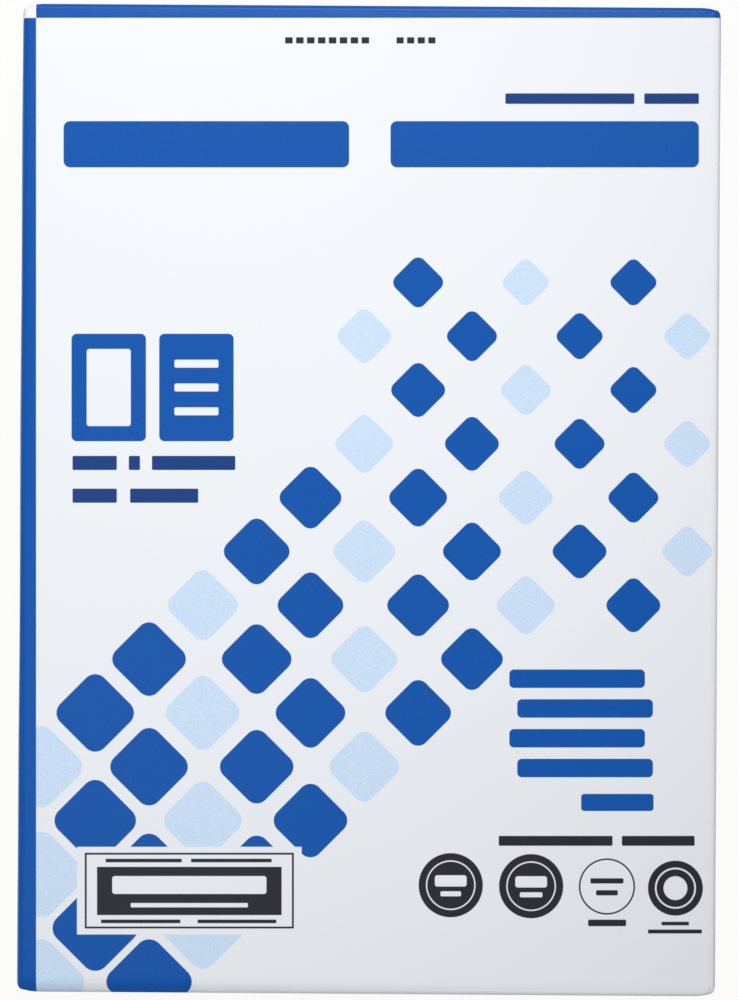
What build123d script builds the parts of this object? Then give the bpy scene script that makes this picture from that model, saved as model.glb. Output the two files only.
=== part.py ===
"""A sealed ream of A4 copy paper: a block of cut sheets in a glued paper wrapper.

The wrapper goes once round the block and laps over itself along the underside. At each end
its sides are tucked in first, then the lower flap is folded up and the upper flap is folded
down over it, both with 45 degree creases from the corners. The long sides bulge a little,
because the wrapper stands off the sheets there. The pack is sealed, so it is one solid.

Frame: millimetres, +Z up, the pack lying on its back. The origin is the middle of the
footprint, +X is across the sheets and +Y is along them, towards the head of the pack.
"""

import os

from build123d import *

# The block of sheets
SHEET_WIDTH = 210.0
SHEET_LENGTH = 297.0
SHEET_COUNT = 500
SHEET_CALIPER = 0.104

# The wrapper
WRAPPER_THICKNESS = 0.12
EDGE_RADIUS = 1.5  # outside radius where the wrapper turns over an edge of the block
SIDE_BULGE = 2.2  # how far each long side stands off the sheets at half height
END_SLACK = 0.35  # how far the tucked ends stand off the sheets

# The end folds
FLAP_DEPTH = 36.0  # from the edge the flap hangs on to its free edge
LOWER_FLAP_LIFT = 3 * WRAPPER_THICKNESS  # flap and gusset over the tuck, not quite flat
UPPER_FLAP_LIFT = 5 * WRAPPER_THICKNESS  # the same again over the lower flap

# The long lap on the underside
LAP_EDGE_OFFSET = 15.0  # free edge of the outer layer, to the right of the middle

BLOCK_HEIGHT = SHEET_COUNT * SHEET_CALIPER
HEIGHT = BLOCK_HEIGHT + 3 * WRAPPER_THICKNESS  # one layer on top, two at the lap below
HALF_WIDTH = SHEET_WIDTH / 2 + WRAPPER_THICKNESS
HALF_LENGTH = SHEET_LENGTH / 2 + WRAPPER_THICKNESS + END_SLACK
BEYOND = 10.0  # how far a cutting or limiting solid runs past the pack


def wrapped_block(end_lift):
    """The wrapped sheets with both ends moved out by end_lift and all edges rounded."""
    with BuildPart() as block:
        with BuildSketch(Plane.XZ):
            with BuildLine():
                Line((-HALF_WIDTH, 0), (HALF_WIDTH, 0))
                ThreePointArc(
                    (HALF_WIDTH, 0),
                    (HALF_WIDTH + SIDE_BULGE, HEIGHT / 2),
                    (HALF_WIDTH, HEIGHT),
                )
                Line((HALF_WIDTH, HEIGHT), (-HALF_WIDTH, HEIGHT))
                ThreePointArc(
                    (-HALF_WIDTH, HEIGHT),
                    (-HALF_WIDTH - SIDE_BULGE, HEIGHT / 2),
                    (-HALF_WIDTH, 0),
                )
            make_face()
        extrude(amount=HALF_LENGTH + end_lift, both=True)
        fillet(block.edges(), EDGE_RADIUS)
    return block.part


def flap_outline(root_height, inward):
    """The flap's trapezoid on an end, seen square on, with its creases at 45 degrees.

    root_height is the height of the edge it hangs on, and inward is 1 for a flap that is
    folded up and -1 for one that is folded down.
    """
    free_height = root_height + inward * FLAP_DEPTH
    past_root = root_height - inward * BEYOND
    return [
        (-HALF_WIDTH - BEYOND, past_root),
        (HALF_WIDTH + BEYOND, past_root),
        (HALF_WIDTH, root_height),
        (HALF_WIDTH - FLAP_DEPTH, free_height),
        (-HALF_WIDTH + FLAP_DEPTH, free_height),
        (-HALF_WIDTH, root_height),
    ]


def end_flaps(root_height, inward, lift):
    """The same flap at both ends, as the slice of a longer wrapped block inside its outline."""
    with BuildPart() as outline:
        with BuildSketch(Plane.XZ):
            with BuildLine():
                Polyline(*flap_outline(root_height, inward), close=True)
            make_face()
        extrude(amount=HALF_LENGTH + BEYOND, both=True)
    return wrapped_block(lift) & outline.part


def lap_step():
    """What the outer layer leaves free beside its edge: one thickness under the pack."""
    right_end = HALF_WIDTH + SIDE_BULGE + BEYOND
    depth = BEYOND + WRAPPER_THICKNESS
    step = Box(
        right_end - LAP_EDGE_OFFSET,
        2 * (HALF_LENGTH + BEYOND),
        depth,
        align=(Align.MIN, Align.CENTER, Align.MAX),
    )
    return Pos(LAP_EDGE_OFFSET, 0, WRAPPER_THICKNESS) * step


def sealed_ream():
    """The whole pack as one solid."""
    pack = wrapped_block(0)
    pack += end_flaps(0, 1, LOWER_FLAP_LIFT)
    pack += end_flaps(HEIGHT, -1, UPPER_FLAP_LIFT)
    return pack - lap_step()


def main():
    os.makedirs("parts", exist_ok=True)
    ream = sealed_ream()
    ream.label = "sealed_ream"
    export_step(ream, "parts/sealed_ream.step")


main()
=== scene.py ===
"""Looks of a sealed ream of A4 copy paper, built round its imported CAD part.

The ream lies on its back with its printed front up and its head towards +Y. One sheet of coated
paper wraps it: a body that goes round the block of sheets, and two glued flaps at each end. The
print is drawn by shader nodes from sizes in millimetres, as fields of colour and simple shapes.
"""

from __future__ import annotations

import logging
import math
from dataclasses import dataclass
from enum import Enum
from typing import Any, Callable

import bmesh
import bpy
from mathutils import Matrix, Vector, noise

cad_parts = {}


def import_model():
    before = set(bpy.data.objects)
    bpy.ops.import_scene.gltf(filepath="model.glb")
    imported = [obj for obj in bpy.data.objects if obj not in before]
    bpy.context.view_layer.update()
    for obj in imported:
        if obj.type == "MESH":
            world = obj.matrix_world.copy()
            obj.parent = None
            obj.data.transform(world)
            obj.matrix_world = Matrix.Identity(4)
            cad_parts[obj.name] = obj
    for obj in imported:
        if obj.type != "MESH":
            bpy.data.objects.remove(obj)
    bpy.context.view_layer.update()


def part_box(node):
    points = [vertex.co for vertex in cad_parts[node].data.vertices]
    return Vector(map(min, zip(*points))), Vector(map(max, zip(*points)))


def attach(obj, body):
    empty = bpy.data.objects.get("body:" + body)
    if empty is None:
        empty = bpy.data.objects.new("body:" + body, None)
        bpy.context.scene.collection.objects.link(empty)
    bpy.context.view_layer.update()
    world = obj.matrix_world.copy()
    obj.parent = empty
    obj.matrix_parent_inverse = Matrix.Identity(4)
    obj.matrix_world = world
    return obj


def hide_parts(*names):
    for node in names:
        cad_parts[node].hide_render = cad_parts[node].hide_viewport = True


MM = 0.001
CAD_NODE = "sealed_ream"
BODY = "root"

log = logging.getLogger("ream")


class Ink(Enum):
    """What is laid on the paper, as sRGB hex values."""

    PAPER = "F1F4F7"
    DEEP_BLUE = "0856AC"
    PALE_BLUE = "CFE5FB"
    NAVY = "163F80"
    BLACK = "26262F"


class End(Enum):
    """The two ends of the pack, by the side of the origin that they are on."""

    HEAD = 1
    FOOT = -1


class Root(Enum):
    """The edge that an end flap hangs on."""

    UNDERSIDE = "lower"
    FRONT = "upper"


def linear(hex_colour: str) -> tuple[float, float, float, float]:
    """Turn an sRGB hex colour to the linear values that shaders use.

    Args:
        hex_colour: six hex digits, red first.

    Returns:
        Linear red, green and blue, and an alpha of 1.
    """
    channels = [int(hex_colour[i : i + 2], 16) / 255 for i in (0, 2, 4)]
    red, green, blue = (c / 12.92 if c <= 0.04045 else ((c + 0.055) / 1.055) ** 2.4 for c in channels)
    return red, green, blue, 1.0


def add(tree: bpy.types.NodeTree, kind: str, inputs: dict[Any, Any] | None = None, **settings: Any) -> Any:
    """Add a node with its settings and links.

    Args:
        tree: the node tree to add to.
        kind: the node's type.
        inputs: what goes into its inputs, by name or number: a socket to link, or a value.
        settings: the node's own properties.

    Returns:
        The new node.
    """
    node = tree.nodes.new(kind)
    for name, value in settings.items():
        setattr(node, name, value)
    for key, value in (inputs or {}).items():
        if isinstance(value, bpy.types.NodeSocket):
            tree.links.new(value, node.inputs[key])
        else:
            node.inputs[key].default_value = value
    return node


def smoothstep(low: float, high: float, value: float) -> float:
    """Rise smoothly from 0 at low to 1 at high."""
    share = min(max((value - low) / (high - low), 0.0), 1.0)
    return share * share * (3 - 2 * share)


@dataclass(frozen=True)
class Mark:
    """A printed bar or disc, in millimetres from the middle of the front, x right and y up."""

    x: float
    y: float
    width: float
    height: float
    radius: float = 0.4


def bar(left: float, right: float, y: float, height: float, radius: float = 0.4) -> Mark:
    """Make a bar from its two ends, the height of its middle and its own height."""
    return Mark((left + right) / 2, y, right - left, height, radius)


def disc(x: float, y: float, radius: float) -> Mark:
    """Make a round mark."""
    return Mark(x, y, 2 * radius, 2 * radius, radius)


@dataclass(frozen=True)
class Lozenges:
    """The field of rounded lozenges that runs diagonally over the front.

    They stand in a square lattice turned by 45 degrees, and shrink from the foot towards the head.
    Along counts up the diagonal, towards the head's right corner, and across counts away from it.
    """

    pitch: float = 23.0
    first_across: float = -13.0
    first_along: float = 11.0
    largest_half: float = 10.4
    smallest_half: float = 5.6
    along_of_largest: float = -150.0
    along_of_smallest: float = 80.0
    corner_share: float = 0.42
    middle_across: float = 21.5
    band_half: float = 46.0
    widening: float = 23.0
    widens_at: float = 25.0
    top_limit: float = 70.0
    side_limit: float = 108.0

    def distance(self, tree: bpy.types.NodeTree, place: Any) -> tuple[Any, Any]:
        """Work out the distance to the nearest lozenge, and which of the two inks it has.

        Args:
            tree: the node tree to add to.
            place: the point on the front, in millimetres.

        Returns:
            The signed distance, and a value that is 1 in a pale lozenge's cell and 0 elsewhere.
        """
        turned = add(tree, "ShaderNodeVectorRotate", {"Vector": place, "Angle": math.radians(-45)},
                     rotation_type="Z_AXIS").outputs[0]
        offset = (self.first_along, -self.first_across, 0)
        moved = add(tree, "ShaderNodeVectorMath", {0: turned, 1: offset}, operation="SUBTRACT").outputs[0]
        pitch = (self.pitch, self.pitch, 1)
        scaled = add(tree, "ShaderNodeVectorMath", {0: moved, 1: pitch}, operation="DIVIDE").outputs[0]
        nudged = add(tree, "ShaderNodeVectorMath", {0: scaled, 1: (0.5, 0.5, 0)}, operation="ADD").outputs[0]
        cell = add(tree, "ShaderNodeVectorMath", {0: nudged}, operation="FLOOR").outputs[0]
        centre = add(tree, "ShaderNodeVectorMath", {0: cell, 1: pitch, 2: offset},
                     operation="MULTIPLY_ADD").outputs[0]
        local = add(tree, "ShaderNodeVectorMath", {0: turned, 1: centre}, operation="SUBTRACT").outputs[0]
        folded = add(tree, "ShaderNodeVectorMath", {0: local}, operation="ABSOLUTE").outputs[0]

        parts = add(tree, "ShaderNodeSeparateXYZ", {0: centre})
        along, minus_across = parts.outputs[0], parts.outputs[1]
        half = add(tree, "ShaderNodeMapRange", {
            "Value": along,
            "From Min": self.along_of_largest,
            "From Max": self.along_of_smallest,
            "To Min": self.largest_half,
            "To Max": self.smallest_half,
        }).outputs[0]
        radius = add(tree, "ShaderNodeMath", {0: half, 1: self.corner_share}, operation="MULTIPLY").outputs[0]
        inner = add(tree, "ShaderNodeMath", {0: half, 1: radius}, operation="SUBTRACT").outputs[0]
        box = add(tree, "ShaderNodeCombineXYZ", {0: inner, 1: inner}).outputs[0]
        beyond = add(tree, "ShaderNodeVectorMath", {0: folded, 1: box}, operation="SUBTRACT").outputs[0]
        outside = add(tree, "ShaderNodeVectorMath", {0: beyond, 1: (0, 0, 0)}, operation="MAXIMUM").outputs[0]
        flat = add(tree, "ShaderNodeVectorMath", {0: outside, 1: (1, 1, 0)}, operation="MULTIPLY").outputs[0]
        length = add(tree, "ShaderNodeVectorMath", {0: flat}, operation="LENGTH").outputs["Value"]
        lozenge = add(tree, "ShaderNodeMath", {0: length, 1: radius}, operation="SUBTRACT").outputs[0]

        wide = add(tree, "ShaderNodeMath", {0: along, 1: self.widens_at}, operation="GREATER_THAN").outputs[0]
        limit = add(tree, "ShaderNodeMath", {0: wide, 1: self.widening, 2: self.band_half},
                    operation="MULTIPLY_ADD").outputs[0]
        off_middle = add(tree, "ShaderNodeMath", {0: minus_across, 1: self.middle_across},
                         operation="ADD").outputs[0]
        off_middle = add(tree, "ShaderNodeMath", {0: off_middle}, operation="ABSOLUTE").outputs[0]
        out_of_band = add(tree, "ShaderNodeMath", {0: off_middle, 1: limit}, operation="GREATER_THAN").outputs[0]
        height = add(tree, "ShaderNodeMath", {0: along, 1: minus_across}, operation="ADD").outputs[0]
        above = add(tree, "ShaderNodeMath", {0: height, 1: self.top_limit * math.sqrt(2)},
                    operation="GREATER_THAN").outputs[0]
        reach = add(tree, "ShaderNodeMath", {0: along, 1: minus_across}, operation="SUBTRACT").outputs[0]
        reach = add(tree, "ShaderNodeMath", {0: reach}, operation="ABSOLUTE").outputs[0]
        beside = add(tree, "ShaderNodeMath", {0: reach, 1: self.side_limit * math.sqrt(2)},
                     operation="GREATER_THAN").outputs[0]
        above = add(tree, "ShaderNodeMath", {0: above, 1: beside}, operation="MAXIMUM").outputs[0]
        left_out = add(tree, "ShaderNodeMath", {0: out_of_band, 1: above}, operation="MAXIMUM").outputs[0]
        shape = add(tree, "ShaderNodeMath", {0: left_out, 1: self.pitch, 2: lozenge},
                    operation="MULTIPLY_ADD").outputs[0]

        third = add(tree, "ShaderNodeVectorMath", {0: cell, 1: (1, 2, 0)}, operation="DOT_PRODUCT").outputs["Value"]
        third = add(tree, "ShaderNodeMath", {0: third, 1: 3.0}, operation="FLOORED_MODULO").outputs[0]
        pale = add(tree, "ShaderNodeMath", {0: third, 1: 0.5}, operation="LESS_THAN").outputs[0]
        return shape, pale


@dataclass(frozen=True)
class FrontPrint:
    """The printed design of the front, as passes of ink that lie over each other.

    Words are plain bars, the size and the weight are small pictures of sheets, and the seals are
    plain discs and rings. Every size is in millimetres.
    """

    heading_y: float = 107.5
    heading_height: float = 14.0
    sheet_width: float = 22.5
    sheet_height: float = 32.5
    sheet_y: float = 34.0
    sheet_stroke: float = 4.6
    pile_left: float = 42.4
    pile_right: float = 85.8
    pile_top: float = -51.2
    pile_layer: float = 5.6
    pile_gap: float = 3.4
    label_x: float = -54.3
    label_y: float = -118.05
    seal_y: float = -116.8

    def headings(self) -> list[Mark]:
        """The two large words at the head."""
        return [
            bar(-92.3, -6.0, self.heading_y, self.heading_height, 2.0),
            bar(6.5, 99.7, self.heading_y, self.heading_height, 2.0),
        ]

    def sheets(self) -> list[Mark]:
        """Two sheets side by side, where the size is given."""
        first = -89.9 + self.sheet_width / 2
        second = -40.9 - self.sheet_width / 2
        return [Mark(x, self.sheet_y, self.sheet_width, self.sheet_height, 1.6) for x in (first, second)]

    def sheet_faces(self) -> list[Mark]:
        """The bare middle of the first sheet, and the bare lines on the second."""
        first = -89.9 + self.sheet_width / 2
        second = -40.9 - self.sheet_width / 2
        inner_width = self.sheet_width - 2 * self.sheet_stroke
        inner_height = self.sheet_height - 2 * self.sheet_stroke
        lines = [Mark(second, self.sheet_y + step * 7.2, inner_width, 2.4, 0.5) for step in (-1, 0, 1)]
        return [Mark(first, self.sheet_y, inner_width, inner_height, 0.8), *lines]

    def pile(self) -> list[Mark]:
        """A pile of sheets, where the weight is given, and its unit below."""
        step = self.pile_layer + self.pile_gap
        layers = []
        for number in range(4):
            y = self.pile_top - self.pile_layer / 2 - number * step
            shift = 1.2 if number % 2 else -1.2
            layers.append(bar(self.pile_left + 1.2 + shift, self.pile_right - 1.2 + shift, y, self.pile_layer, 1.4))
        return [*layers, bar(64.1, 86.0, -91.4, 5.2, 1.0)]

    def small_words(self) -> list[Mark]:
        """The lines of smaller words in dark blue."""
        return [
            bar(41.2, 80.2, 121.3, 3.2),
            bar(83.2, 99.7, 121.3, 3.2),
            bar(-89.6, -76.2, 11.2, 4.3),
            bar(-72.6, -69.2, 11.2, 4.3),
            bar(-65.6, -40.4, 11.2, 4.3),
            bar(-89.6, -76.2, 1.3, 4.3),
            bar(-72.2, -51.6, 1.3, 4.3),
        ]

    def code(self) -> list[Mark]:
        """The two groups of a dotted code that is stamped near the head."""
        first = [Mark(-24.2 + 3.3 * number, 138.9, 2.3, 1.9, 0.2) for number in range(8)]
        second = [Mark(9.4 + 3.2 * number, 138.9, 2.2, 1.9, 0.2) for number in range(4)]
        return first + second

    def black_words(self) -> list[Mark]:
        """The slogan and the captions under two of the seals."""
        return [
            bar(39.2, 73.6, -103.0, 3.0),
            bar(76.4, 98.4, -103.0, 3.0),
            bar(66.2, 77.7, -127.8, 2.0),
            bar(88.4, 96.7, -128.0, 1.1, 0.2),
            bar(84.3, 100.6, -130.4, 1.2, 0.2),
        ]

    def seals(self) -> list[Mark]:
        """The outer discs of the four seals."""
        return [
            disc(24.7, self.seal_y + 0.4, 9.7),
            disc(49.0, self.seal_y + 0.1, 9.7),
            disc(71.9, self.seal_y, 8.5),
            disc(92.6, self.seal_y - 0.5, 8.3),
        ]

    def seal_faces(self) -> list[Mark]:
        """The bare rings and middles inside the seals."""
        return [
            disc(24.7, self.seal_y + 0.4, 7.5),
            disc(49.0, self.seal_y + 0.1, 7.5),
            disc(71.9, self.seal_y, 8.0),
            disc(92.6, self.seal_y - 0.5, 6.2),
        ]

    def seal_middles(self) -> list[Mark]:
        """The dark middles of three seals, and the two bars inside the ring of the other."""
        return [
            disc(24.7, self.seal_y + 0.4, 7.1),
            disc(49.0, self.seal_y + 0.1, 7.1),
            bar(66.9, 76.9, self.seal_y + 1.7, 1.6),
            bar(68.6, 75.2, self.seal_y - 1.9, 1.6),
            disc(92.6, self.seal_y - 0.5, 5.7),
        ]

    def seal_marks(self) -> list[Mark]:
        """The bare marks on the seals' dark middles."""
        return [
            bar(19.9, 29.5, self.seal_y + 1.7, 3.4, 0.8),
            bar(21.6, 27.8, self.seal_y - 2.2, 1.5, 0.4),
            bar(44.2, 53.8, self.seal_y + 1.4, 3.4, 0.8),
            bar(45.6, 52.4, self.seal_y - 2.5, 1.5, 0.4),
            disc(92.6, self.seal_y - 0.5, 3.6),
        ]

    def label_box(self) -> list[Mark]:
        """The bare box that keeps the label clear of the lozenges."""
        return [Mark(self.label_x, self.label_y, 67.9, 26.5, 0.1)]

    def label_frame(self) -> list[Mark]:
        """The outer line of the label."""
        return [Mark(self.label_x, self.label_y, 63.2, 22.9, 0.1)]

    def label_field(self) -> list[Mark]:
        """The bare field inside the label's line."""
        return [Mark(self.label_x, self.label_y, 62.0, 21.7, 0.1)]

    def label_panel(self) -> list[Mark]:
        """The label's dark panel and the thin words over and under it."""
        return [
            Mark(self.label_x, self.label_y - 0.1, 55.8, 14.6, 0.1),
            bar(-79.6, -56.6, self.label_y + 9.1, 1.1, 0.2),
            bar(-53.8, -29.4, self.label_y + 9.1, 1.1, 0.2),
            bar(-81.0, -57.0, self.label_y - 9.3, 1.1, 0.2),
            bar(-51.8, -28.0, self.label_y - 9.3, 1.1, 0.2),
        ]

    def label_words(self) -> list[Mark]:
        """The bare words on the label's dark panel."""
        return [
            bar(-77.6, -31.0, self.label_y + 1.7, 5.4, 0.8),
            bar(-72.0, -36.6, self.label_y - 4.4, 1.3, 0.3),
        ]

    def passes(self) -> list[tuple[Ink, list[Mark]]]:
        """Put the marks in the order that they are printed in.

        Returns:
            Pairs of an ink and the marks that it makes, the lowest first.
        """
        return [
            (Ink.DEEP_BLUE, self.headings() + self.sheets() + self.pile()),
            (Ink.PAPER, self.sheet_faces() + self.label_box()),
            (Ink.NAVY, self.small_words()),
            (Ink.BLACK, self.code() + self.black_words() + self.seals() + self.label_frame()),
            (Ink.PAPER, self.seal_faces() + self.label_field()),
            (Ink.BLACK, self.seal_middles() + self.label_panel()),
            (Ink.PAPER, self.seal_marks() + self.label_words()),
        ]


@dataclass(frozen=True)
class CoatedPaper:
    """Machine coated wrapper paper, offset printed: white, smooth and semi-gloss.

    The coating gives a soft wide highlight. The ink film is a little glossier than the bare
    coating, and it mottles where it sinks into the fibres. All sizes are in millimetres.
    """

    name: str = "coated_wrapper_paper"
    bare_roughness: float = 0.46
    inked_roughness: float = 0.36
    specular_level: float = 0.13
    ior: float = 1.5
    fibre_size: float = 0.8
    fibre_depth: float = 0.008
    cockle_size: float = 14.0
    cockle_depth: float = 0.05
    mottle_size: float = 0.6
    mottle_strength: float = 0.045
    edge_softness: float = 0.09
    white_left: float = -100.6
    white_top: float = 145.7
    foot_start: float = 3.0
    left_start: float = 4.3
    right_start: float = 4.6
    right_inner: float = 101.4
    gusset_start: float = 104.4
    gusset_slope: float = 2.1
    print_turn_deg: float = 0.36

    def bar_group(self) -> bpy.types.NodeTree:
        """Make the node group that gives the distance from a point to a rounded bar.

        Returns:
            The group, with the point, the bar's centre, half size and radius as its inputs.
        """
        group = bpy.data.node_groups.new("rounded_bar", "ShaderNodeTree")
        for name in ("Point", "Centre", "Half size"):
            group.interface.new_socket(name, in_out="INPUT", socket_type="NodeSocketVector")
        group.interface.new_socket("Radius", in_out="INPUT", socket_type="NodeSocketFloat")
        group.interface.new_socket("Distance", in_out="OUTPUT", socket_type="NodeSocketFloat")
        given = add(group, "NodeGroupInput")
        moved = add(group, "ShaderNodeVectorMath", {0: given.outputs[0], 1: given.outputs[1]}, operation="SUBTRACT")
        folded = add(group, "ShaderNodeVectorMath", {0: moved.outputs[0]}, operation="ABSOLUTE")
        inner = add(group, "ShaderNodeVectorMath", {0: given.outputs[2], 1: given.outputs[3]}, operation="SUBTRACT")
        beyond = add(group, "ShaderNodeVectorMath", {0: folded.outputs[0], 1: inner.outputs[0]}, operation="SUBTRACT")
        outside = add(group, "ShaderNodeVectorMath", {0: beyond.outputs[0], 1: (0, 0, 0)}, operation="MAXIMUM")
        flat = add(group, "ShaderNodeVectorMath", {0: outside.outputs[0], 1: (1, 1, 0)}, operation="MULTIPLY")
        length = add(group, "ShaderNodeVectorMath", {0: flat.outputs[0]}, operation="LENGTH")
        result = add(group, "ShaderNodeMath", {0: length.outputs["Value"], 1: given.outputs[3]}, operation="SUBTRACT")
        add(group, "NodeGroupOutput", {0: result.outputs[0]})
        return group

    def mask(self, tree: bpy.types.NodeTree, distance: Any) -> Any:
        """Turn a signed distance in millimetres to a mask that is 1 inside the shape."""
        soft = self.edge_softness
        limits = {"Value": distance, "From Min": soft, "From Max": -soft}
        return add(tree, "ShaderNodeMapRange", limits).outputs[0]

    def place(self, tree: bpy.types.NodeTree) -> tuple[Any, Any]:
        """Find a point's place on the pack and on the print, which is printed slightly askew.

        Args:
            tree: the node tree to add to.

        Returns:
            The point in millimetres on the pack, and the same turned to the print.
        """
        coordinates = add(tree, "ShaderNodeTexCoord").outputs["Object"]
        on_pack = add(tree, "ShaderNodeVectorMath", {0: coordinates, "Scale": 1 / MM}, operation="SCALE").outputs[0]
        turn = {"Vector": on_pack, "Angle": math.radians(-self.print_turn_deg)}
        on_print = add(tree, "ShaderNodeVectorRotate", turn, rotation_type="Z_AXIS").outputs[0]
        return on_pack, on_print

    def mottle(self, tree: bpy.types.NodeTree, on_pack: Any, colour: Any, inked: Any) -> Any:
        """Mottle the ink film, which covers the coating unevenly.

        Args:
            tree: the node tree to add to.
            on_pack: the point in millimetres on the pack.
            colour: the printed colour.
            inked: 1 where there is ink, and 0 where the paper is bare.

        Returns:
            The mottled colour.
        """
        grain = add(tree, "ShaderNodeTexNoise", {"Vector": on_pack, "Scale": 1 / self.mottle_size, "Detail": 3.0})
        level = add(tree, "ShaderNodeMapRange", {
            "Value": grain.outputs["Fac"],
            "From Min": 0.3,
            "From Max": 0.7,
            "To Min": 1 - self.mottle_strength,
            "To Max": 1 + self.mottle_strength,
        })
        film = {"Value": level.outputs[0], "Fac": inked, "Color": colour}
        return add(tree, "ShaderNodeHueSaturation", film).outputs[0]

    def finish(self, tree: bpy.types.NodeTree, on_pack: Any, colour: Any, inked: Any) -> None:
        """Add the shader, with the paper's fibres, its slight cockle and its two levels of gloss.

        Args:
            tree: the node tree to add to.
            on_pack: the point in millimetres on the pack.
            colour: the printed colour.
            inked: 1 where there is ink, and 0 where the paper is bare.
        """
        fibres = add(tree, "ShaderNodeTexNoise", {"Vector": on_pack, "Scale": 1 / self.fibre_size, "Detail": 4.0})
        cockle = add(tree, "ShaderNodeTexNoise", {"Vector": on_pack, "Scale": 1 / self.cockle_size, "Detail": 2.0})
        waves = add(tree, "ShaderNodeBump", {
            "Strength": 1.0,
            "Distance": self.cockle_depth * MM,
            "Height": cockle.outputs["Fac"],
        })
        surface = add(tree, "ShaderNodeBump", {
            "Strength": 1.0,
            "Distance": self.fibre_depth * MM,
            "Height": fibres.outputs["Fac"],
            "Normal": waves.outputs[0],
        })
        gloss = add(tree, "ShaderNodeMapRange", {
            "Value": inked,
            "To Min": self.bare_roughness,
            "To Max": self.inked_roughness,
        })
        shader = add(tree, "ShaderNodeBsdfPrincipled", {
            "Base Color": self.mottle(tree, on_pack, colour, inked),
            "Roughness": gloss.outputs[0],
            "IOR": self.ior,
            "Specular IOR Level": self.specular_level,
            "Normal": surface.outputs[0],
        })
        add(tree, "ShaderNodeOutputMaterial", {"Surface": shader.outputs[0]})

    def side_panels(self, tree: bpy.types.NodeTree, on_pack: Any, on_print: Any, height: float) -> Any:
        """Find the blue of the two long sides and the head band, which are shifted off the folds.

        Args:
            tree: the node tree to add to.
            on_pack: the point in millimetres on the pack.
            on_print: the same point turned to the print.
            height: the pack's height in millimetres.

        Returns:
            The signed distance to the blue.
        """
        pack = add(tree, "ShaderNodeSeparateXYZ", {0: on_pack})
        sheet = add(tree, "ShaderNodeSeparateXYZ", {0: on_print})
        x, y, z = sheet.outputs[0], sheet.outputs[1], pack.outputs[2]
        left = add(tree, "ShaderNodeMath", {0: x, 1: self.white_left}, operation="SUBTRACT").outputs[0]
        past_head = add(tree, "ShaderNodeMath", {0: y, 1: self.white_top}, operation="SUBTRACT").outputs[0]
        into_gusset = add(tree, "ShaderNodeMath", {0: x, 1: -1.0, 2: -self.gusset_start},
                          operation="MULTIPLY_ADD").outputs[0]
        into_gusset = add(tree, "ShaderNodeMath", {0: into_gusset, 1: 0.0}, operation="MAXIMUM").outputs[0]
        below_gusset = add(tree, "ShaderNodeMath", {0: into_gusset, 1: self.gusset_slope, 2: past_head},
                           operation="MULTIPLY_ADD").outputs[0]
        left_panel = add(tree, "ShaderNodeMath", {0: left, 1: below_gusset}, operation="MAXIMUM").outputs[0]
        under_left = add(tree, "ShaderNodeMath", {0: self.left_start, 1: z}, operation="SUBTRACT").outputs[0]
        left_panel = add(tree, "ShaderNodeMath", {0: left_panel, 1: under_left}, operation="MAXIMUM").outputs[0]

        before_head = add(tree, "ShaderNodeMath", {0: past_head, 1: -1.0}, operation="MULTIPLY").outputs[0]
        right_of_notch = add(tree, "ShaderNodeMath", {0: left, 1: -1.0}, operation="MULTIPLY").outputs[0]
        head_band = add(tree, "ShaderNodeMath", {0: before_head, 1: right_of_notch}, operation="MAXIMUM").outputs[0]

        over_right = add(tree, "ShaderNodeMath", {0: z, 1: height - self.right_start},
                         operation="SUBTRACT").outputs[0]
        off_right = add(tree, "ShaderNodeMath", {0: self.right_inner, 1: x}, operation="SUBTRACT").outputs[0]
        right_panel = add(tree, "ShaderNodeMath", {0: over_right, 1: off_right}, operation="MAXIMUM").outputs[0]
        right_panel = add(tree, "ShaderNodeMath", {0: right_panel, 1: past_head}, operation="MAXIMUM").outputs[0]
        under_edge = add(tree, "ShaderNodeMath", {0: over_right, 1: -1.0}, operation="MULTIPLY").outputs[0]
        head_band = add(tree, "ShaderNodeMath", {0: head_band, 1: under_edge}, operation="MAXIMUM").outputs[0]
        blue = add(tree, "ShaderNodeMath", {0: left_panel, 1: head_band}, operation="MINIMUM").outputs[0]
        return add(tree, "ShaderNodeMath", {0: blue, 1: right_panel}, operation="MINIMUM").outputs[0]

    def front_design(self, tree: bpy.types.NodeTree, on_pack: Any, on_print: Any, height: float) -> tuple[Any, Any]:
        """Print the front: the lozenges, and then each pass of marks over them.

        Args:
            tree: the node tree to add to.
            on_pack: the point in millimetres on the pack.
            on_print: the same point turned to the print.
            height: the pack's height in millimetres.

        Returns:
            The printed colour, and a value that is 1 where there is ink.
        """
        z = add(tree, "ShaderNodeSeparateXYZ", {0: on_pack}).outputs[2]
        front = add(tree, "ShaderNodeMath", {0: z, 1: height - 6.0}, operation="GREATER_THAN").outputs[0]
        flat = add(tree, "ShaderNodeVectorMath", {0: on_print, 1: (1, 1, 0)}, operation="MULTIPLY").outputs[0]
        group = bpy.data.node_groups.get("rounded_bar") or self.bar_group()

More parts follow.
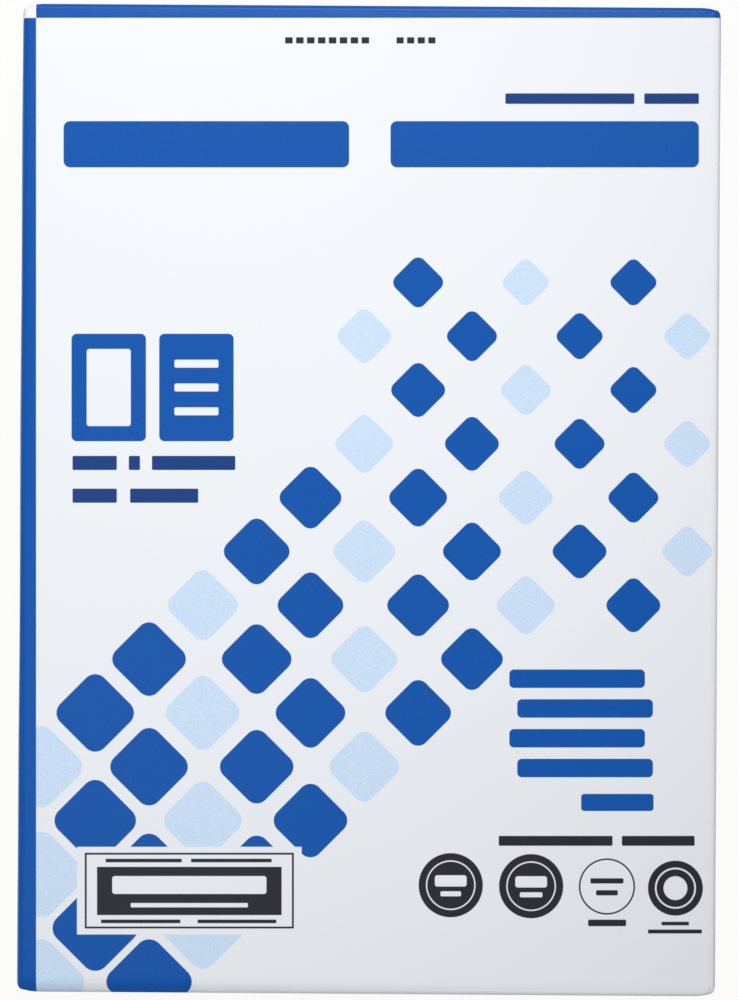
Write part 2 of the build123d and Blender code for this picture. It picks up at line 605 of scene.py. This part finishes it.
        field, pale = Lozenges().distance(tree, flat)
        inked = add(tree, "ShaderNodeMath", {0: self.mask(tree, field), 1: front}, operation="MULTIPLY").outputs[0]
        lozenge_ink = add(tree, "ShaderNodeMix", {
            "Factor": pale,
            6: linear(Ink.DEEP_BLUE.value),
            7: linear(Ink.PALE_BLUE.value),
        }, data_type="RGBA").outputs[2]
        colour = add(tree, "ShaderNodeMix", {
            "Factor": inked,
            6: linear(Ink.PAPER.value),
            7: lozenge_ink,
        }, data_type="RGBA").outputs[2]
        for ink, marks in FrontPrint().passes():
            nearest = None
            for mark in marks:
                shape = add(tree, "ShaderNodeGroup", node_tree=group)
                tree.links.new(flat, shape.inputs["Point"])
                shape.inputs["Centre"].default_value = (mark.x, mark.y, 0)
                shape.inputs["Half size"].default_value = (mark.width / 2, mark.height / 2, 0)
                shape.inputs["Radius"].default_value = mark.radius
                distance = shape.outputs[0]
                if nearest is not None:
                    distance = add(tree, "ShaderNodeMath", {0: nearest, 1: distance}, operation="MINIMUM").outputs[0]
                nearest = distance
            share = add(tree, "ShaderNodeMath", {0: self.mask(tree, nearest), 1: front}, operation="MULTIPLY").outputs[0]
            colour = add(tree, "ShaderNodeMix", {
                "Factor": share,
                6: colour,
                7: linear(ink.value),
            }, data_type="RGBA").outputs[2]
            film = 0.0 if ink is Ink.PAPER else 1.0
            inked = add(tree, "ShaderNodeMix", {"Factor": share, 2: inked, 3: film}, data_type="FLOAT").outputs[0]
        return colour, inked

    def material(self, suffix: str, height: float, front: bool, blue: Callable[..., Any]) -> bpy.types.Material:
        """Make the printed paper of one piece.

        Args:
            suffix: the end of the material's name.
            height: the pack's height in millimetres.
            front: whether the piece shows any of the front's design.
            blue: the method that gives the signed distance to the piece's blue fields.

        Returns:
            The material.
        """
        material = bpy.data.materials.new(f"{self.name}_{suffix}")
        material.use_nodes = True
        tree = material.node_tree
        tree.nodes.clear()
        on_pack, on_print = self.place(tree)
        colour, inked = linear(Ink.PAPER.value), 0.0
        if front:
            colour, inked = self.front_design(tree, on_pack, on_print, height)
        fields = self.mask(tree, blue(tree, on_pack, on_print, height))
        colour = add(tree, "ShaderNodeMix", {
            "Factor": fields,
            6: colour,
            7: linear(Ink.DEEP_BLUE.value),
        }, data_type="RGBA").outputs[2]
        inked = add(tree, "ShaderNodeMath", {0: inked, 1: fields}, operation="MAXIMUM").outputs[0]
        self.finish(tree, on_pack, colour, inked)
        return material

    def head_flap_field(self, tree: bpy.types.NodeTree, on_pack: Any, on_print: Any, height: float) -> Any:
        """Find the blue of the head's upper flap, from the head band down.

        Args:
            tree: the node tree to add to.
            on_pack: not used.
            on_print: the same point turned to the print.
            height: not used.

        Returns:
            The signed distance to the blue.
        """
        sheet = add(tree, "ShaderNodeSeparateXYZ", {0: on_print})
        off_left = add(tree, "ShaderNodeMath", {0: self.white_left, 1: sheet.outputs[0]}, operation="SUBTRACT")
        before = add(tree, "ShaderNodeMath", {0: self.white_top, 1: sheet.outputs[1]}, operation="SUBTRACT")
        return add(tree, "ShaderNodeMath", {0: off_left.outputs[0], 1: before.outputs[0]},
                   operation="MAXIMUM").outputs[0]

    def foot_flap_field(self, tree: bpy.types.NodeTree, on_pack: Any, on_print: Any, height: float) -> Any:
        """Find the blue of the foot's upper flap, which starts a little below the edge.

        The left panel's blue runs on round the edge for as far, to the left of the flap's own.

        Args:
            tree: the node tree to add to.
            on_pack: the point in millimetres on the pack.
            on_print: the same point turned to the print.
            height: the pack's height in millimetres.

        Returns:
            The signed distance to the blue.
        """
        z = add(tree, "ShaderNodeSeparateXYZ", {0: on_pack}).outputs[2]
        x = add(tree, "ShaderNodeSeparateXYZ", {0: on_print}).outputs[0]
        off_left = add(tree, "ShaderNodeMath", {0: self.white_left, 1: x}, operation="SUBTRACT").outputs[0]
        above = add(tree, "ShaderNodeMath", {0: z, 1: height - self.foot_start}, operation="SUBTRACT").outputs[0]
        own = add(tree, "ShaderNodeMath", {0: off_left, 1: above}, operation="MAXIMUM").outputs[0]
        off_panel = add(tree, "ShaderNodeMath", {0: off_left, 1: -1.0}, operation="MULTIPLY").outputs[0]
        under = add(tree, "ShaderNodeMath", {0: above, 1: -1.0}, operation="MULTIPLY").outputs[0]
        panel = add(tree, "ShaderNodeMath", {0: off_panel, 1: under}, operation="MAXIMUM").outputs[0]
        return add(tree, "ShaderNodeMath", {0: own, 1: panel}, operation="MINIMUM").outputs[0]

    def lower_flap_field(self, tree: bpy.types.NodeTree, on_pack: Any, on_print: Any, height: float) -> Any:
        """Find the blue of a lower flap, which starts a little above the bottom edge.

        Args:
            tree: the node tree to add to.
            on_pack: the point in millimetres on the pack.
            on_print: not used.
            height: the pack's height in millimetres.

        Returns:
            The signed distance to the blue.
        """
        z = add(tree, "ShaderNodeSeparateXYZ", {0: on_pack}).outputs[2]
        return add(tree, "ShaderNodeMath", {0: self.foot_start, 1: z}, operation="SUBTRACT").outputs[0]


@dataclass(frozen=True)
class Chart:
    """A rectangle of the bake map, for the faces that look one way.

    Its corner and its scale are shares of the map, and the scale is per metre of the pack.
    """

    u: float
    v: float
    scale: float
    across: int
    along: int

    def at(self, point: Vector, low: Vector) -> tuple[float, float]:
        """Give a point's place in the map."""
        return (
            self.u + (point[self.across] - low[self.across]) * self.scale,
            self.v + (point[self.along] - low[self.along]) * self.scale,
        )


@dataclass
class WrappedBody:
    """The wrapper round the block: the front, the long sides, the underside and the side tucks.

    All sizes are in metres. The ends are closed by the side tucks, which the flaps lie over.
    """

    low: Vector
    high: Vector
    paper: float = 0.12 * MM
    edge_radius: float = 1.5 * MM
    corner_radius: float = 1.5 * MM
    side_bulge: float = 2.2 * MM
    tuck_depth: float = 0.6 * MM
    lap_edge: float = 15.0 * MM
    lap_recess: float = 0.25 * MM
    cell: float = 3.0 * MM
    wave_height: float = 0.16 * MM
    wave_length: float = 46 * MM
    rim_zone: float = 9.0 * MM
    rim_cell: float = 0.8 * MM
    rim_ripple: float = 0.07 * MM
    ripple_width: float = 1.7 * MM
    ripple_length: float = 60 * MM
    crease_inset: float = 1.1 * MM
    crease_depth: float = 0.2 * MM
    foot_facet: float = 2.4 * MM
    facet_slope: float = 0.45
    weld_distance: float = 0.02 * MM
    name: str = "wrapper_body"

    @property
    def half_width(self) -> float:
        """Half the width at the edges, inside the bulge of the long sides."""
        return self.high.x - self.side_bulge

    @property
    def half_length(self) -> float:
        """From the middle to the side tucks."""
        return self.high.y - self.tuck_depth

    @property
    def height(self) -> float:
        """The height of the pack."""
        return self.high.z

    def block(self) -> bmesh.types.BMesh:
        """Make the block with its upright corners and then its edges rounded."""
        size = Matrix.Diagonal((2 * self.half_width, 2 * self.half_length, self.height, 1))
        bm = bmesh.new()
        bmesh.ops.create_cube(bm, size=1.0, matrix=Matrix.Translation((0, 0, self.height / 2)) @ size)
        upright = [e for e in bm.edges if abs(e.verts[0].co.z - e.verts[1].co.z) > self.height / 2]
        bmesh.ops.bevel(bm, geom=upright, offset=self.corner_radius, offset_type="OFFSET", affect="EDGES",
                        segments=6, profile=0.5, material=-1)
        rims = [e for e in bm.edges if abs(e.verts[0].co.z - e.verts[1].co.z) < self.paper]
        bmesh.ops.bevel(bm, geom=rims, offset=self.edge_radius, offset_type="OFFSET", affect="EDGES",
                        segments=6, profile=0.5, material=-1)
        return bm

    def cut(self, bm: bmesh.types.BMesh, axis: int, places: list[float]) -> None:
        """Cut the faces square to one axis at each of the places."""
        normal = Vector((0, 0, 0))
        normal[axis] = 1.0
        for place in places:
            geometry = [*bm.verts, *bm.edges, *bm.faces]
            bmesh.ops.bisect_plane(bm, geom=geometry, dist=1e-6, plane_co=normal * place, plane_no=normal)

    def grid(self, reach: float) -> list[float]:
        """Give evenly spaced places from -reach to reach, about a cell apart."""
        count = max(2, round(2 * reach / self.cell))
        return [-reach + 2 * reach * number / count for number in range(count + 1)]

    def refine(self, bm: bmesh.types.BMesh) -> None:
        """Divide the faces finely enough to bulge, wave and step."""
        self.cut(bm, 0, self.grid(self.half_width - self.corner_radius))
        self.cut(bm, 1, self.grid(self.half_length - self.corner_radius))
        middle = self.height / 2
        self.cut(bm, 2, [middle + place for place in self.grid(middle - self.edge_radius)])
        self.cut(bm, 0, [self.lap_edge, self.lap_edge + self.paper])
        self.cut(bm, 1, [self.foot_facet - self.half_length])
        steps = range(1, round(self.rim_zone / self.rim_cell))
        rim = [self.half_width - self.edge_radius - step * self.rim_cell for step in steps]
        self.cut(bm, 0, [*rim, *(-place for place in rim)])
        # Where the two roundings meet in a corner they leave slivers, finer than any real feature.
        bmesh.ops.remove_doubles(bm, verts=bm.verts[:], dist=self.weld_distance)

    def rim_drop(self, point: Vector) -> float:
        """Give how far the front lies below its plane near the long edges.

        The paper is drawn into fine lengthwise ripples along both folds, and the right one was
        creased twice, which leaves a narrow groove beside it.

        Args:
            point: a point of the front.

        Returns:
            The drop at that point.
        """
        near = 1 - smoothstep(0.0, self.rim_zone, self.half_width - abs(point.x))
        ripple = noise.noise(Vector((point.x / self.ripple_width, point.y / self.ripple_length, 5.0)))
        drop = near * ripple * self.rim_ripple
        if abs(point.x - self.half_width + self.crease_inset) < self.paper:
            uneven = noise.noise(Vector((0.5, point.y / self.ripple_length, 9.0)))
            drop += self.crease_depth * (0.8 + 0.7 * uneven)
        return drop

    def facet_drop(self, x: float, y: float) -> float:
        """Give how far the front is pressed down along the foot, most of all at its left end.

        Args:
            x: the place across the pack.
            y: the place along it.

        Returns:
            The drop there, which is 0 outside the narrow facet.
        """
        into = min(max(self.foot_facet - self.half_length - y, 0.0), self.foot_facet)
        return self.facet_slope * into * (1 - 0.9 * smoothstep(-self.half_width, self.half_width, x))

    def relax(self, bm: bmesh.types.BMesh) -> None:
        """Bulge the long sides, wave the paper a little and step the underside at the lap."""
        for vertex in bm.verts:
            point = vertex.co.copy()
            side = math.copysign(1.0, point.x)
            beyond = smoothstep(self.half_width - self.edge_radius, self.half_width, abs(point.x))
            height_share = point.z / self.height
            arch = 4 * height_share * (1 - height_share)
            slack = 1 + 0.10 * noise.noise(Vector((side * 3.1, point.y / self.wave_length, 0.7)))
            vertex.co.x += side * beyond * arch * self.side_bulge * slack
            wave = noise.noise(Vector((point.x, point.y, point.z)) / self.wave_length)
            if point.z > self.height / 2:
                inland = min(self.half_width - abs(point.x), self.half_length - abs(point.y))
                calm = smoothstep(0.0, 18 * MM, inland)
                vertex.co.z += wave * self.wave_height * (0.25 + 0.75 * calm) * smoothstep(0.8, 1.0, height_share)
                vertex.co.z -= self.rim_drop(point) * smoothstep(0.95, 1.0, height_share)
                vertex.co.z -= self.facet_drop(point.x, point.y) * smoothstep(0.8, 1.0, height_share)
            elif point.z < self.edge_radius and point.x > self.lap_edge + self.paper / 2:
                near = 1 - smoothstep(0, 12 * MM, point.x - self.lap_edge)
                share = 1 - smoothstep(0.0, self.edge_radius, point.z)
                vertex.co.z += (self.paper + near * self.lap_recess) * share

    def map_for_baking(self, bm: bmesh.types.BMesh) -> None:
        """Give the front most of the bake map, because the print is there."""
        front = Chart(0.01, 0.01, 0.98 / (2 * self.high.y), 0, 1)
        charts = {
            "underside": Chart(0.722, 0.01, 1.26, 0, 1),
            "left": Chart(0.722, 0.41, 1.26, 2, 1),
            "right": Chart(0.80, 0.41, 1.26, 2, 1),
            "head": Chart(0.722, 0.81, 1.26, 0, 2),
            "foot": Chart(0.722, 0.89, 1.26, 0, 2),
        }
        layer = bm.loops.layers.uv.new("OFBake")
        for face in bm.faces:
            normal = face.normal
            if normal.z > 0.3:
                chart = front
            elif normal.z < -0.7:
                chart = charts["underside"]
            elif abs(normal.x) > abs(normal.y):
                chart = charts["right" if normal.x > 0 else "left"]
            else:
                chart = charts["head" if normal.y > 0 else "foot"]
            for loop in face.loops:
                loop[layer].uv = chart.at(loop.vert.co, self.low)

    def build(self) -> bpy.types.Object:
        """Build the body as one closed mesh.

        Returns:
            The finished piece, which stands for the CAD part.
        """
        bm = self.block()
        self.refine(bm)
        self.relax(bm)
        bmesh.ops.recalc_face_normals(bm, faces=bm.faces)
        bm.normal_update()
        self.map_for_baking(bm)
        return finished_piece(bm, self.name)

    def dress(self, piece: bpy.types.Object, paper: CoatedPaper) -> None:
        """Give the body its printed paper."""
        piece.data.materials.append(paper.material("body", self.height / MM, True, paper.side_panels))


@dataclass
class EndFlap:
    """One flap of an end's envelope fold: a sheet that is folded over the end from its root edge.

    The sheet starts just inside the body's surface, turns over the edge and lies on the end, with
    creases at 45 degrees on both sides. It springs up a little towards its free edge. All sizes
    are in metres.
    """

    body: WrappedBody
    end: End
    root: Root
    depth: float = 36 * MM
    lift: float = 0.36 * MM
    spring: float = 0.5 * MM
    thickness: float = 0.2 * MM
    start_inside: float = 1.2 * MM
    root_gap: float = 0.9 * MM
    crease_lift: float = 0.24 * MM
    corner_ease: float = 2.5 * MM
    crease_ease: float = 10 * MM
    sunk: float = 0.05 * MM
    seed: float = 0.0

    @property
    def name(self) -> str:
        """The piece's name, such as head_upper_flap."""
        return f"{self.end.name.lower()}_{self.root.value}_flap"

    def half_width(self, below: float) -> float:
        """Give half the sheet's width at a depth below its root."""
        root = self.body.half_width - self.root_gap
        return min(root, self.body.half_width - below)

    def lift_at(self, x: float, below: float) -> float:
        """Give how far the sheet stands off the tucks, which is less along its creases.

        Args:
            x: the place across the pack.
            below: the depth below the root.

        Returns:
            The gap between the tucks and the sheet's outer face.
        """
        ease = min(self.corner_ease + below, self.crease_ease)
        inland = smoothstep(0.0, ease, self.half_width(below) - abs(x))
        at_crease = self.crease_lift * smoothstep(0.0, 5 * MM, below)
        return at_crease + (self.lift - at_crease) * inland

    def point(self, across: float, share: float, length: float) -> Vector:
        """Find a point of the sheet's outer face.

        Args:
            across: the place across the sheet, from -1 to 1.
            share: the share of the way from its start to its free edge.
            length: the whole way along the sheet.

        Returns:
            The point on the pack.
        """
        radius = self.body.edge_radius
        travelled = share * length - self.start_inside
        turn = min(max(travelled / radius, 0.0), math.pi / 2)
        straight = max(travelled - radius * math.pi / 2, 0.0)
        below = radius * (1 - math.cos(turn)) + straight
        x = across * self.half_width(below)
        corner = self.body.corner_radius
        past = min(max(abs(x) - (self.body.half_width - corner), 0.0), corner)
        round_off = corner - math.sqrt(corner**2 - past**2)
        plane = self.body.half_length - round_off + self.lift_at(x, below)
        along = plane - radius + radius * math.sin(turn) + min(travelled, 0.0)
        sag = self.sunk * max(-travelled, 0.0) / self.start_inside
        free = smoothstep(0.2, 1.0, straight / (self.depth - radius))
        flutter = noise.noise(Vector((across * 2.4, share * 1.5, self.seed)))
        along += self.spring * free * (1 + 0.9 * flutter)
        rise = below + sag + round_off
        if self.root is Root.FRONT and self.end is End.FOOT:
            rise += self.body.facet_drop(x, -along) * (1 - smoothstep(0.0, 10 * MM, below))
        from_floor = rise if self.root is Root.UNDERSIDE else self.body.height - rise
        return Vector((x, self.end.value * along, from_floor))

    def build(self) -> bpy.types.Object:
        """Build the flap as a thin closed sheet.

        Returns:
            The finished piece.
        """
        length = self.start_inside + self.body.edge_radius * (math.pi / 2 - 1) + self.depth
        bm = bmesh.new()
        bmesh.ops.create_grid(bm, x_segments=96, y_segments=64, size=1.0)
        for vertex in bm.verts:
            vertex.co = self.point(vertex.co.x, (vertex.co.y + 1) / 2, length)
        bmesh.ops.recalc_face_normals(bm, faces=bm.faces)
        outward = sum(face.normal.y * face.calc_area() for face in bm.faces) * self.end.value
        if outward < 0:
            bmesh.ops.reverse_faces(bm, faces=bm.faces)
        bmesh.ops.solidify(bm, geom=bm.faces[:], thickness=self.thickness)
        bmesh.ops.recalc_face_normals(bm, faces=bm.faces)
        return finished_piece(bm, self.name)

    def dress(self, piece: bpy.types.Object, paper: CoatedPaper) -> None:
        """Give the flap its printed paper."""
        on_front = self.root is Root.FRONT
        field = paper.lower_flap_field
        if on_front:
            field = paper.head_flap_field if self.end is End.HEAD else paper.foot_flap_field
        piece.data.materials.append(paper.material(self.name, self.body.height / MM, on_front, field))


@dataclass
class Wrapper:
    """The whole wrapper: its body and the four end flaps."""

    low: Vector
    high: Vector

    def build(self, paper: CoatedPaper) -> None:
        """Build every piece, dress it and let it ride on the pack.

        Args:
            paper: the paper that all of them are made of.
        """
        body = WrappedBody(self.low, self.high)
        piece = body.build()
        body.dress(piece, paper)
        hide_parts(CAD_NODE)
        self.mount(piece)
        for end in End:
            lower = EndFlap(body, end, Root.UNDERSIDE, lift=0.36 * MM, spring=0.15 * MM, seed=3.0 + end.value)
            upper = EndFlap(body, end, Root.FRONT, lift=0.6 * MM, spring=0.6 * MM, seed=8.0 + end.value)
            for flap in (lower, upper):
                piece = flap.build()
                flap.dress(piece, paper)
                self.mount(piece)

    def mount(self, piece: bpy.types.Object) -> None:
        """Let a piece ride on the pack and log how many faces it has."""
        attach(piece, BODY)
        log.info("%s: %d faces", piece.name, len(piece.data.polygons))


def finished_piece(bm: bmesh.types.BMesh, name: str) -> bpy.types.Object:
    """Make a smooth shaded object from a bmesh, at the origin.

    Args:
        bm: the shape, which is freed.
        name: the piece's name.

    Returns:
        The object, linked to the scene.
    """
    mesh = bpy.data.meshes.new(name)
    bm.to_mesh(mesh)
    bm.free()
    mesh.shade_smooth()
    piece = bpy.data.objects.new(name, mesh)
    bpy.context.scene.collection.objects.link(piece)
    return piece


@dataclass
class Studio:
    """A pale floor, soft lamps and a camera that looks straight down."""

    high: Vector
    floor_size: float = 6.0
    floor_gap: float = 0.2 * MM
    lens_mm: float = 120.0
    seen_height: float = 0.3022
    roll_deg: float = 0.36
    world_level: float = 0.42
    key_power: float = 47.0
    key_cone_deg: float = 36.0
    key_radius: float = 0.15
    gloss_power: float = 0.6
    gloss_size: float = 0.2

    def floor(self) -> None:
        """Lay the floor, whose colour is white in the picture and which keeps the shadow."""
        bm = bmesh.new()
        just_below = Matrix.Translation((0, 0, -self.floor_gap))
        bmesh.ops.create_grid(bm, x_segments=1, y_segments=1, size=self.floor_size / 2, matrix=just_below)
        plane = finished_piece(bm, "floor")
        material = bpy.data.materials.new("matt_white_board")
        material.use_nodes = True
        tree = material.node_tree
        tree.nodes.clear()
        board = add(tree, "ShaderNodeBsdfDiffuse", {"Color": linear("F4F4F2")})
        glow = add(tree, "ShaderNodeEmission", {"Color": linear("FFFFFD"), "Strength": 1.0})
        seen = add(tree, "ShaderNodeLightPath").outputs["Is Camera Ray"]
        share = add(tree, "ShaderNodeMath", {0: seen, 1: 0.93}, operation="MULTIPLY")
        mixed = add(tree, "ShaderNodeMixShader", {0: share.outputs[0], 1: board.outputs[0], 2: glow.outputs[0]})
        add(tree, "ShaderNodeOutputMaterial", {"Surface": mixed.outputs[0]})
        plane.data.materials.append(material)

    def world(self) -> None:
        """Light the scene evenly from all round, with a white surround in the picture."""
        world = bpy.data.worlds.new("studio")
        bpy.context.scene.world = world
        world.use_nodes = True
        tree = world.node_tree
        tree.nodes.clear()
        rays = add(tree, "ShaderNodeLightPath").outputs
        seen = add(tree, "ShaderNodeMath", {0: rays["Is Camera Ray"], 1: rays["Is Glossy Ray"]}, operation="MAXIMUM")
        seen = add(tree, "ShaderNodeMath", {0: seen.outputs[0], 1: rays["Is Transmission Ray"]}, operation="MAXIMUM")
        levels = {"Value": seen.outputs[0], "To Min": self.world_level, "To Max": 1.0}
        strength = add(tree, "ShaderNodeMapRange", levels)
        light = add(tree, "ShaderNodeBackground", {"Color": linear("FBFCFF"), "Strength": strength.outputs[0]})
        add(tree, "ShaderNodeOutputWorld", {"Surface": light.outputs[0]})

    def hang(self, data: bpy.types.Light, place: Vector, aim: Vector) -> None:
        """Hang a lamp at a place and turn it to what it lights."""
        lamp = bpy.data.objects.new(data.name, data)
        lamp.location = place
        lamp.rotation_euler = (aim - place).to_track_quat("-Z", "Y").to_euler()
        bpy.context.scene.collection.objects.link(lamp)

    def key(self) -> None:
        """Light the front from beyond its head, with a pool of light that fades at the foot."""
        data = bpy.data.lights.new("key", "SPOT")
        data.energy = self.key_power
        data.spot_size = math.radians(self.key_cone_deg)
        data.spot_blend = 1.0
        data.shadow_soft_size = self.key_radius
        self.hang(data, Vector((0.05, 0.75, 1.2)), Vector((-0.07, 0.08, self.high.z)))

    def gloss(self) -> None:
        """Hang the square soft lamp whose reflection lies low on the left of the front."""
        data = bpy.data.lights.new("gloss", "AREA")
        data.size = self.gloss_size
        data.energy = self.gloss_power
        self.hang(data, Vector((-0.18, -0.16, 0.95)), Vector((0, 0, self.high.z)))

    def camera(self) -> None:
        """Look straight down at the front, turned a little so that the pack lies askew."""
        data = bpy.data.cameras.new("camera")
        data.lens = self.lens_mm
        distance = self.seen_height * self.lens_mm / data.sensor_width
        camera = bpy.data.objects.new("camera", data)
        camera.location = (0, 0, self.high.z + distance)
        camera.rotation_euler = (0, 0, math.radians(self.roll_deg))
        bpy.context.scene.collection.objects.link(camera)
        bpy.context.scene.camera = camera

    def build(self) -> None:
        """Set up the whole studio."""
        self.floor()
        self.world()
        self.key()
        self.gloss()
        self.camera()
        bpy.context.scene.view_settings.view_transform = "Standard"
        log.info("studio is set")


def main() -> None:
    """Build the ream round its CAD part, and then the studio."""
    logging.basicConfig(level=logging.INFO, format="%(name)s: %(message)s")
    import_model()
    low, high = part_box(CAD_NODE)
    Wrapper(low, high).build(CoatedPaper())
    Studio(high).build()


if __name__ == "__main__":
    main()
